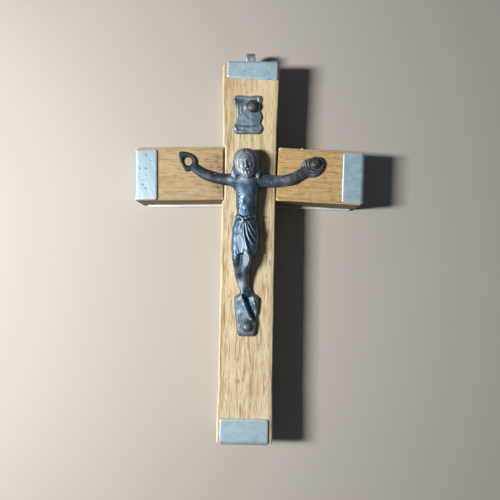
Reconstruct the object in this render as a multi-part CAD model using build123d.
"""A small wooden crucifix with metal end caps and a cast figure, lying on its back.

Millimetres. +X is the viewer's right, +Y the top of the cross, +Z out of its front.
The origin is under the middle of the whole outline, on the surface it lies on.
"""
from build123d import *
import math
import os

# Wooden blocks: the upright and the two halves of the crossbar, butted against it
BEAM_WIDTH = 10.6
BEAM_THICKNESS = 7.2
UPRIGHT_LENGTH = 76.05
CROSSBAR_LENGTH = 45.6
CROSSING_FROM_TOP = 22.45
EDGE_ROUND = 0.6
JOINT_GAP = 0.1
ARM_DROOP = 1.5

# Sheet metal: the backing and the four folded end caps
PLATE_THICKNESS = 0.6
PLATE_LIP = 0.35
PLATE_CORNER = 1.0
SHEET = 0.4
CAP_INSET = 0.25
BEND_GAP = 0.1
CAP_CORNER = 0.8
CAP_EDGE_ROUND = 0.15
BACK_FLANGE = 4.0
TOP_FLANGE = 3.4
BOTTOM_FLANGE = 5.3
SIDE_FLANGE = 4.5

# Hanging loop, a ring of strip soldered on the top cap
LOOP_HOLE = 2.5
LOOP_WALL = 0.75
LOOP_WIDTH = 2.0
LOOP_SEAT = 0.3

# Nails with round heads
NAIL_HEAD = 2.2
NAIL_HEAD_RISE = 0.75
NAIL_SHANK = 1.2
NAIL_LENGTH = 5.0
NAIL_POINT = 1.2
NAIL_ROOM = 0.3
HEAD_GAP = 0.05

# Title scroll, placed from the crossing
SCROLL_WIDTH = 6.2
SCROLL_WAIST = 4.8
SCROLL_HEIGHT = 7.8
SCROLL_THICKNESS = 0.7
SCROLL_ROLL = 0.5
SCROLL_PLACE = (-0.2, 11.8)
SCROLL_NAIL = (0.7, 13.5)

# Cast figure, placed from the crossing; heights are above the wood's face
NAIL_HOLE = 1.7
HAND_THICKNESS = 1.0
HAND_LENGTH = 4.6
HAND_WIDTH = 3.5
LEFT_HAND = (-12.2, 2.3)
RIGHT_HAND = (13.2, 2.1)
FOOT_NAIL = (0.2, -30.5)
FOOT_PLATE_TOP = -24.6
FOOT_PLATE_BOTTOM = -32.4
FOOT_PLATE_WIDTH = 5.4
FOOT_PLATE_FOOT_WIDTH = 3.9
FOOT_PLATE_THICKNESS = 1.0
FOOT_PLATE_CORNER = 0.6
FOOT_PLATE_MIDDLE = 0.35
ANKLES = (-0.2, -22.8)
ANKLES_WIDTH = 2.4
LEFT_SHOULDER = (-1.5, -1.7)
LEFT_ELBOW = (-7.4, -0.9)
LEFT_HAND_TURN = 130
RIGHT_SHOULDER = (0.8, -1.8)
RIGHT_ELBOW = (8.2, -1.1)
RIGHT_HAND_TURN = 40
SHOULDER_HEIGHT = 1.8
SHOULDER_RADIUS = 1.25
ELBOW_HEIGHT = 1.1
ELBOW_RADIUS = 1.0
WRIST_RADIUS = 0.7

# The figure's rounded forms: across, along and height of the middle, then half width and half depth
TRUNK = [
    (-0.6, -0.6, 1.5, 1.0, 1.0),
    (-0.4, -2.6, 1.7, 2.2, 1.5),
    (-0.4, -4.8, 1.8, 2.1, 1.8),
    (-0.4, -7.6, 1.6, 1.85, 1.6),
    (-0.4, -10.5, 1.5, 2.0, 1.6),
]
LOINCLOTH = [
    (-0.4, -8.6, 1.6, 1.95, 1.7),
    (-0.4, -11.8, 1.5, 2.45, 1.8),
    (-0.6, -14.6, 1.5, 2.5, 1.8),
    (-0.7, -17.0, 1.5, 2.15, 1.6),
]
HAIR = (-0.7, 1.0, 1.3, 2.25, 3.6)
FACE = (-0.7, 0.9, 2.5, 1.9, 2.6)
BEARD = (-0.7, -1.3, 2.8, 1.2, 1.8)
GATHER = (-0.7, -9.6, 2.7, 0.8, 1.0)

# Limbs, locks of hair and the cloth's end: lists of place, height and radius
LEFT_LOCK = [((-2.4, 1.8), 1.4, 0.6), ((-2.6, -0.6), 1.7, 0.75), ((-2.3, -2.8), 2.2, 0.6)]
RIGHT_LOCK = [((1.0, 1.8), 1.4, 0.6), ((1.3, -0.6), 1.7, 0.75), ((1.2, -2.8), 2.2, 0.6)]
CLOTH_END = [((0.2, -10.0), 2.8, 0.6), ((1.4, -12.6), 2.3, 0.75), ((1.9, -15.4), 1.4, 0.85)]
LEFT_LEG = [
    ((-1.4, -13.0), 1.6, 1.1),
    ((-1.6, -17.6), 1.8, 1.1),
    ((-1.2, -20.2), 1.2, 1.0),
    ((-0.7, -23.6), 0.9, 0.7),
]
RIGHT_LEG = [
    ((0.8, -13.0), 1.8, 1.2),
    ((0.2, -18.0), 2.1, 1.15),
    ((-0.1, -20.6), 1.4, 1.0),
    ((-0.1, -23.6), 1.0, 0.75),
]
LEFT_FOOT = [((-0.6, -22.8), 0.9, 0.75), ((-1.0, -25.4), 0.9, 0.85), ((-1.3, -28.0), 0.7, 0.75)]
RIGHT_FOOT = [((-0.2, -22.8), 1.1, 0.8), ((0.7, -25.4), 1.1, 0.95), ((1.5, -27.8), 0.8, 0.85)]

# Levels and places that follow from the sizes
WOOD_BACK = SHEET + PLATE_THICKNESS
WOOD_FACE = WOOD_BACK + BEAM_THICKNESS
GRIP = PLATE_THICKNESS + BEAM_THICKNESS
CAP_WIDTH = BEAM_WIDTH - 2 * CAP_INSET
CAP_BEND = EDGE_ROUND - BEND_GAP
LOOP_RADIUS = LOOP_HOLE / 2 + LOOP_WALL
LOOP_CENTRE_RISE = LOOP_RADIUS - LOOP_SEAT
LOOP_RISE = LOOP_CENTRE_RISE + LOOP_RADIUS
TOP_REACH = CROSSING_FROM_TOP + SHEET
BOTTOM_REACH = UPRIGHT_LENGTH - CROSSING_FROM_TOP + SHEET
CROSSING_Y = (BOTTOM_REACH - TOP_REACH - LOOP_RISE) / 2
UPRIGHT_TOP = CROSSING_Y + CROSSING_FROM_TOP
UPRIGHT_BOTTOM = UPRIGHT_TOP - UPRIGHT_LENGTH


def from_crossing(place, level):
    """The point at a place given from the crossing, at a level above the table."""
    return (place[0], CROSSING_Y + place[1], level)


def along_arm(side):
    """The crossing, turned along the arm on the side that the sign gives; both arms droop a little."""
    return Pos(0, CROSSING_Y, 0) * Rot(0, 0, -side * ARM_DROOP)


def block(length):
    """A block of wood along X with all its edges rounded, which also clears the caps' bends."""
    solid = fillet(Box(length, BEAM_WIDTH, BEAM_THICKNESS).edges(), EDGE_ROUND)
    return Pos(0, 0, WOOD_BACK + BEAM_THICKNESS / 2) * solid


def drill(place, thickness):
    """The hole for a nail that holds a given thickness, from the wood's face to just past its point."""
    depth = NAIL_LENGTH - thickness + NAIL_ROOM
    hole = Cylinder(NAIL_SHANK / 2, depth, align=(Align.CENTER, Align.CENTER, Align.MAX))
    return Pos(*from_crossing(place, WOOD_FACE)) * hole


def upright_beam():
    """The long block, drilled for the nails of the scroll and of the foot plate."""
    middle = (UPRIGHT_TOP + UPRIGHT_BOTTOM) / 2
    solid = Pos(0, middle, 0) * Rot(0, 0, 90) * block(UPRIGHT_LENGTH)
    solid -= drill(SCROLL_NAIL, SCROLL_THICKNESS)
    return solid - drill(FOOT_NAIL, FOOT_PLATE_THICKNESS)


def crossbar_half(side):
    """One half of the crossbar; the lower corner of its square inner end just clears the upright."""
    inner = BEAM_WIDTH / 2 * (1 + math.tan(math.radians(ARM_DROOP))) + JOINT_GAP
    outer = CROSSBAR_LENGTH / 2
    return along_arm(side) * Pos(side * (inner + outer) / 2, 0, 0) * block(outer - inner)


def back_plate():
    """The cross-shaped backing, a little wider than the wood, its ends clear of the caps' bends."""
    width = BEAM_WIDTH + 2 * PLATE_LIP
    middle = (UPRIGHT_TOP + UPRIGHT_BOTTOM) / 2
    outline = Pos(0, middle) * RectangleRounded(width, UPRIGHT_LENGTH - 2 * EDGE_ROUND, PLATE_CORNER)
    reach = CROSSBAR_LENGTH / 2 - EDGE_ROUND
    for side in (-1, 1):
        outline += along_arm(side) * Pos(side * reach / 2, 0) * RectangleRounded(reach, width, PLATE_CORNER)
    return Pos(0, 0, SHEET) * extrude(outline, PLATE_THICKNESS)


def cap_outline(reach):
    """A cap's strip seen from the front, with its free corners rounded; X zero is the end of the wood."""
    outline = Pos(SHEET, 0) * Rectangle(reach, CAP_WIDTH, align=(Align.MAX, Align.CENTER))
    return fillet(outline.vertices().group_by(Axis.X)[0], CAP_CORNER)


def end_cap(flange):
    """A strip folded over the end of a block and the backing, which it grips between its flanges."""
    reach = max(flange, BACK_FLANGE)
    outer = Pos(SHEET, 0) * Rectangle(reach, GRIP + 2 * SHEET, align=(Align.MAX, Align.CENTER))
    outer = fillet(outer.vertices().group_by(Axis.X)[-1], CAP_BEND + SHEET)
    inner = Rectangle(reach, GRIP, align=(Align.MAX, Align.CENTER))
    inner = fillet(inner.vertices().group_by(Axis.X)[-1], CAP_BEND)
    solid = extrude(Plane.XZ * (outer - inner), CAP_WIDTH / 2, both=True)
    solid &= extrude(cap_outline(flange), GRIP) + extrude(cap_outline(BACK_FLANGE), -GRIP)
    rim = solid.faces().sort_by(Axis.Z)[-1].edges().sort_by(Axis.X)[:-1]
    return Pos(0, 0, SHEET + GRIP / 2) * fillet(rim, CAP_EDGE_ROUND)


def end_caps():
    """The four caps in place, by name."""
    side = CROSSBAR_LENGTH / 2
    return {
        "top_cap": Pos(0, UPRIGHT_TOP, 0) * Rot(0, 0, 90) * end_cap(TOP_FLANGE),
        "bottom_cap": Pos(0, UPRIGHT_BOTTOM, 0) * Rot(0, 0, -90) * end_cap(BOTTOM_FLANGE),
        "left_cap": along_arm(-1) * Pos(-side, 0, 0) * Rot(0, 0, 180) * end_cap(SIDE_FLANGE),
        "right_cap": along_arm(1) * Pos(side, 0, 0) * end_cap(SIDE_FLANGE),
    }


def hanging_loop():
    """The strip ring, flattened where it is soldered on the end of the top cap."""
    level = SHEET + GRIP / 2
    ring = Circle(LOOP_RADIUS) - Circle(LOOP_HOLE / 2)
    seat = Rectangle(2 * LOOP_RADIUS, LOOP_RADIUS, align=(Align.CENTER, Align.MAX))
    ring -= Pos(0, -LOOP_CENTRE_RISE) * seat
    solid = extrude(Plane.YZ * Rot(0, 0, -90) * ring, LOOP_WIDTH / 2, both=True)
    return Pos(0, UPRIGHT_TOP + SHEET + LOOP_CENTRE_RISE, level) * solid


def nail():
    """A nail pointing down, with the underside of its domed head on Z zero."""
    shank = NAIL_SHANK / 2
    head = NAIL_HEAD / 2
    radius = (head**2 + NAIL_HEAD_RISE**2) / (2 * NAIL_HEAD_RISE)
    start = math.degrees(math.acos(head / radius))
    dome = CenterArc((0, NAIL_HEAD_RISE - radius), radius, start, 90 - start)
    side = Polyline(
        (head, 0),
        (shank, 0),
        (shank, NAIL_POINT - NAIL_LENGTH),
        (0, -NAIL_LENGTH),
        (0, NAIL_HEAD_RISE),
    )
    return revolve(Plane.XZ * make_face([dome, side]), Axis.Z)


def nails():
    """The three nails in place, by name, each seated on the piece that it holds."""
    seats = {
        "title_nail": (SCROLL_NAIL, WOOD_FACE + SCROLL_THICKNESS),
        "hand_nail": (RIGHT_HAND, WOOD_FACE + HAND_THICKNESS),
        "foot_nail": (FOOT_NAIL, WOOD_FACE + FOOT_PLATE_THICKNESS),
    }
    return {name: Pos(*from_crossing(*seat)) * nail() for name, seat in seats.items()}


def title_scroll():
    """The scroll: a plate with drawn-in sides and a roll along its top and bottom edges."""
    half_width = SCROLL_WIDTH / 2
    half_height = SCROLL_HEIGHT / 2
    right = ThreePointArc((half_width, half_height), (SCROLL_WAIST / 2, 0), (half_width, -half_height))
    left = ThreePointArc((-half_width, -half_height), (-SCROLL_WAIST / 2, 0), (-half_width, half_height))
    top = Line((-half_width, half_height), (half_width, half_height))
    bottom = Line((half_width, -half_height), (-half_width, -half_height))
    solid = extrude(make_face([top, right, bottom, left]), SCROLL_THICKNESS)
    roll = Rot(0, 90, 0) * Cylinder(SCROLL_ROLL, SCROLL_WIDTH)
    for side in (1, -1):
        solid += Pos(0, side * (half_height - SCROLL_ROLL), SCROLL_ROLL) * roll
    solid = Pos(*from_crossing(SCROLL_PLACE, WOOD_FACE)) * solid
    return solid - Pos(*from_crossing(SCROLL_NAIL, WOOD_FACE)) * clearance(SCROLL_THICKNESS, NAIL_SHANK)


def clearance(thickness, hole):
    """A nail's hole through a thickness, and the room above it that its head seats in."""
    room = Pos(0, 0, thickness) * Cylinder(
        NAIL_HEAD / 2 + HEAD_GAP, 2 * NAIL_HEAD, align=(Align.CENTER, Align.CENTER, Align.MIN)
    )
    return Cylinder(hole / 2, 4 * thickness) + room


def oval(across, along, height, half_width, half_depth):
    """A cross-section of the figure, square to the upright."""
    centre = from_crossing((across, along), WOOD_FACE + height)
    return Plane(origin=centre, x_dir=(1, 0, 0), z_dir=(0, -1, 0)) * Ellipse(half_width, half_depth)


def swell(across, along, height, radius, half_length):
    """An egg shape whose long axis lies along the upright."""
    arc = EllipticalCenterArc((0, 0), radius, half_length, start_angle=-90, arc_size=180)
    egg = revolve(make_face([arc, Line(arc @ 1, arc @ 0)]), Axis.Y)
    return Pos(*from_crossing((across, along), WOOD_FACE + height)) * egg


def limb(stations):
    """A limb lofted through circles square to its path, given as points and radii."""
    points = [Vector(*point) for point, radius in stations]
    circles = []
    for index, (point, radius) in enumerate(stations):
        ahead = points[min(index + 1, len(points) - 1)]
        behind = points[max(index - 1, 0)]
        way = Vector(ahead.X - behind.X, ahead.Y - behind.Y, 0)
        circles.append(Plane(origin=point, x_dir=(0, 0, 1), z_dir=way) * Circle(radius))
    return loft(circles)


def arm(shoulder, elbow, hand):
    """An arm from inside the shoulder, over the edge of the upright, to the middle of its hand."""
    return limb([
        (from_crossing(shoulder, WOOD_FACE + SHOULDER_HEIGHT), SHOULDER_RADIUS),
        (from_crossing(elbow, WOOD_FACE + ELBOW_HEIGHT), ELBOW_RADIUS),
        (from_crossing(hand, WOOD_FACE + HAND_THICKNESS / 2), WRIST_RADIUS),
    ])


def hand(place, turn):
    """An open hand, a flat oval on the wood turned the way of its fingers."""
    outline = Rot(0, 0, turn) * Ellipse(HAND_LENGTH / 2, HAND_WIDTH / 2)
    return Pos(*from_crossing(place, WOOD_FACE)) * extrude(outline, HAND_THICKNESS)


def foot_plate():
    """The tapered tab under the feet, drawn in to the ankles above and rounded below."""
    half_top = FOOT_PLATE_WIDTH / 2
    half_foot = FOOT_PLATE_FOOT_WIDTH / 2
    outline = make_face(Polyline(
        (ANKLES[0] - ANKLES_WIDTH / 2, ANKLES[1]),
        (ANKLES[0] + ANKLES_WIDTH / 2, ANKLES[1]),
        (FOOT_PLATE_MIDDLE + half_top, FOOT_PLATE_TOP),
        (FOOT_PLATE_MIDDLE + half_foot, FOOT_PLATE_BOTTOM),
        (FOOT_PLATE_MIDDLE - half_foot, FOOT_PLATE_BOTTOM),
        (FOOT_PLATE_MIDDLE - half_top, FOOT_PLATE_TOP),
        close=True,
    ))
    outline = fillet(outline.vertices().group_by(Axis.Y)[0], FOOT_PLATE_CORNER)
    return Pos(*from_crossing((0, 0), WOOD_FACE)) * extrude(outline, FOOT_PLATE_THICKNESS)


def tapered(stations):
    """A leg, foot, lock of hair or fold through circles given as place, height and radius."""
    return limb([(from_crossing(place, WOOD_FACE + height), r) for place, height, r in stations])


def corpus():
    """The figure, one casting cut flat where it lies on the wood."""
    pieces = [
        loft([oval(*station) for station in TRUNK]),
        loft([oval(*station) for station in LOINCLOTH]),
        swell(*HAIR),
        swell(*FACE),
        swell(*BEARD),
        swell(*GATHER),
        arm(LEFT_SHOULDER, LEFT_ELBOW, LEFT_HAND),
        arm(RIGHT_SHOULDER, RIGHT_ELBOW, RIGHT_HAND),
        hand(LEFT_HAND, LEFT_HAND_TURN),
        hand(RIGHT_HAND, RIGHT_HAND_TURN),
        foot_plate(),
    ]
    legs = (LEFT_LEG, RIGHT_LEG, LEFT_FOOT, RIGHT_FOOT)
    pieces += [tapered(stations) for stations in legs + (LEFT_LOCK, RIGHT_LOCK, CLOTH_END)]
    solid = pieces[0]
    for piece in pieces[1:]:
        solid += piece
    under = (Align.CENTER, Align.CENTER, Align.MAX)
    solid -= Pos(0, 0, WOOD_FACE) * Box(CROSSBAR_LENGTH, 2 * UPRIGHT_LENGTH, BEAM_THICKNESS, align=under)
    for place in (LEFT_HAND, RIGHT_HAND):
        solid -= Pos(*from_crossing(place, WOOD_FACE)) * clearance(HAND_THICKNESS, NAIL_HOLE)
    solid -= Pos(*from_crossing(FOOT_NAIL, WOOD_FACE)) * clearance(FOOT_PLATE_THICKNESS, NAIL_HOLE)
    return solid


os.makedirs("parts", exist_ok=True)
pieces = {
    "upright_beam": upright_beam(),
    "crossbar_left": crossbar_half(-1),
    "crossbar_right": crossbar_half(1) - drill(RIGHT_HAND, HAND_THICKNESS),
    "back_plate": back_plate(),
    **end_caps(),
    "hanging_loop": hanging_loop(),
    "corpus": corpus(),
    "title_scroll": title_scroll(),
    **nails(),
}
for name, solid in pieces.items():
    export_step(solid, f"parts/{name}.step")
